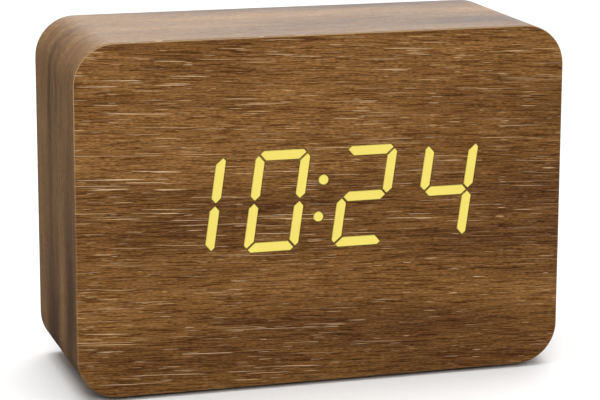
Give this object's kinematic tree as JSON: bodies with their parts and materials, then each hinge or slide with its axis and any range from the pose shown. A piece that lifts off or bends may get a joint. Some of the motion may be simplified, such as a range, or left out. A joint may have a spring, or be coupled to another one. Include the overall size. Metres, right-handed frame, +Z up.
{
  "type": "alarm clock",
  "caption": "Block-shaped radio-controlled alarm clock in walnut veneer, with slanted yellow digits that glow through the wood and a recessed black back cover.",
  "frame": {"origin": "under the middle of the case, at the level of the pads it stands on", "axes": "+X right as seen from the front, the front faces -Y, +Z up"},
  "size_m": [0.1, 0.038, 0.0708],
  "materials": {
    "fibreboard": "raw medium-density board",
    "wrap_veneer": "satin walnut veneer",
    "front_veneer": "satin walnut veneer",
    "lit_segment": "glowing yellow",
    "diffuser": "milky",
    "foot_pad": "foam",
    "cover_plastic": "fine spark texture",
    "control_plastic": "satin",
    "black_screw": "blackened",
    "display_black": "matt",
    "circuit_board": "solder mask",
    "component_black": "matt",
    "tinned_metal": "tinned",
    "screw_steel": "zinc plated",
    "white_nylon": "satin",
    "ferrite": "matt",
    "copper": "enamelled",
    "capacitor_sleeve": "sleeved",
    "ribbon_grey": "satin",
    "wire_red": "satin",
    "cell_jacket": "printed film without words"
  },
  "bodies": {
    "case": {"case_body": "fibreboard", "wrap_veneer": "wrap_veneer", "front_veneer": "front_veneer", "lit_segments": "lit_segment", "segment_diffusers": "diffuser", "foot_pads": "foot_pad", "back_cover": "cover_plastic", "cover_screws": "black_screw", "display_housing": "display_black", "main_board": "circuit_board", "control_board": "circuit_board", "receiver_board": "circuit_board", "controller_chip": "component_black", "receiver_chip": "component_black", "tact_switches": "component_black", "buzzer": "component_black", "power_jack": "component_black", "display_pins": "tinned_metal", "quartz_crystal": "tinned_metal", "alarm_switch": "tinned_metal", "jack_pin": "tinned_metal", "jack_terminals": "tinned_metal", "contact_plates": "tinned_metal", "contact_springs": "tinned_metal", "board_screws": "screw_steel", "control_screws": "screw_steel", "board_spacers": "white_nylon", "antenna_bobbin": "white_nylon", "antenna_holders": "white_nylon", "ribbon_connectors": "white_nylon", "ferrite_rod": "ferrite", "antenna_winding": "copper", "antenna_leads": "copper", "capacitors": "capacitor_sleeve", "ribbon_cable": "ribbon_grey", "battery_leads": "wire_red", "jack_leads": "wire_red", "cell_low": "cell_jacket", "cell_mid": "cell_jacket", "cell_high": "cell_jacket"},
    "battery_door": {"battery_door": "cover_plastic"},
    "set_button": {"set_button": "control_plastic", "set_plunger": "white_nylon"},
    "up_button": {"up_button": "control_plastic", "up_plunger": "white_nylon"},
    "down_button": {"down_button": "control_plastic", "down_plunger": "white_nylon"},
    "alarm_slider": {"alarm_slider": "control_plastic", "alarm_lever": "white_nylon"}
  },
  "joints": [
    {"name": "battery_door_tilt", "type": "hinge", "parent": "case", "child": "battery_door", "pos_m": [0, 0.01725, 0.0128], "axis": [-1, 0, 0], "range_deg": [0, 50]},
    {"name": "set_button_press", "type": "slide", "parent": "case", "child": "set_button", "axis": [0, -1, 0], "range_m": [0, 0.0005], "stiffness_N_per_m": 600},
    {"name": "up_button_press", "type": "slide", "parent": "case", "child": "up_button", "axis": [0, -1, 0], "range_m": [0, 0.0005], "stiffness_N_per_m": 600},
    {"name": "down_button_press", "type": "slide", "parent": "case", "child": "down_button", "axis": [0, -1, 0], "range_m": [0, 0.0005], "stiffness_N_per_m": 600},
    {"name": "alarm_slide", "type": "slide", "parent": "case", "child": "alarm_slider", "axis": [1, 0, 0], "range_m": [0, 0.0025]}
  ]
}
